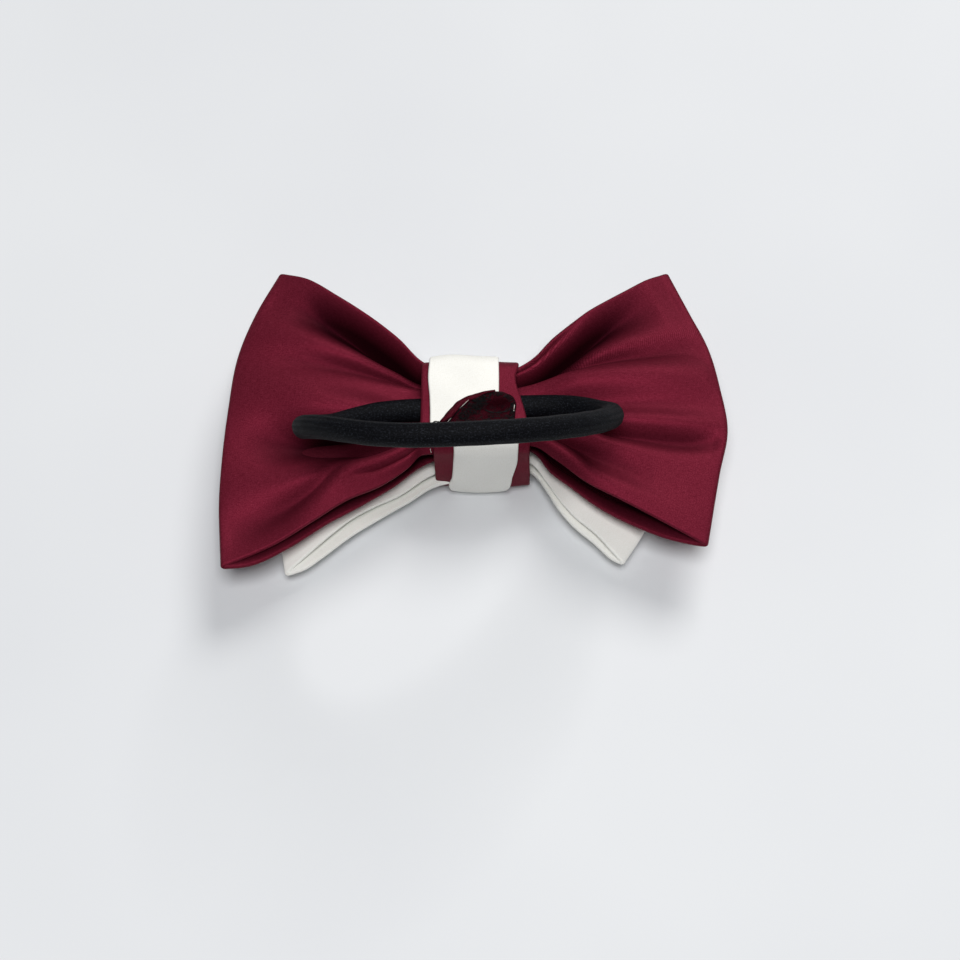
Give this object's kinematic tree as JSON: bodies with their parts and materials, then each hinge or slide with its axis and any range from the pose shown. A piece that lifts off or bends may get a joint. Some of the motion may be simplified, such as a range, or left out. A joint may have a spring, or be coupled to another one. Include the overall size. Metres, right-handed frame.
{
  "type": "bow tie",
  "caption": "Two-layer satin bow with a wrapped centre knot, worn on a round braided elastic loop that swings in a tunnel under the knot.",
  "frame": {"origin": "centre of the flat front face of the centre knot, which is the face that the bow rests on", "axes": "+X along the bow's width, +Y towards the bow's upper edges, +Z out of the bow's back, the side that carries the elastic loop"},
  "size_m": [0.099, 0.0618, 0.0589],
  "materials": {
    "burgundy_satin": "satin weave with a soft sheen",
    "ivory_satin": "satin weave with a soft sheen",
    "interfacing": "matt non-woven stiffening",
    "binding_thread": "spun thread",
    "black_thread": "spun overlock thread",
    "braided_cover": "black braided textile",
    "elastic_rubber": "matt extruded rubber",
    "bonding_glue": "set hot glue"
  },
  "bodies": {
    "bow": {"outer_bow_satin": "burgundy_satin", "outer_bow_interfacing": "interfacing", "outer_bow_gathering_thread": "binding_thread", "inner_bow_satin": "ivory_satin", "inner_bow_interfacing": "interfacing", "inner_bow_gathering_thread": "binding_thread", "centre_band": "ivory_satin", "centre_strap": "burgundy_satin", "strap_end_tab": "burgundy_satin", "overlock_thread": "black_thread", "tacking_thread": "binding_thread"},
    "elastic_loop": {"elastic_cover": "braided_cover", "elastic_core": "elastic_rubber", "elastic_bonded_joint": "bonding_glue"}
  },
  "joints": [
    {"name": "loop_swing", "type": "hinge", "parent": "bow", "child": "elastic_loop", "pos_m": [0, 0, 0.017], "axis": [0.9994, 0.0349, 0], "range_deg": [-87, 35]}
  ]
}
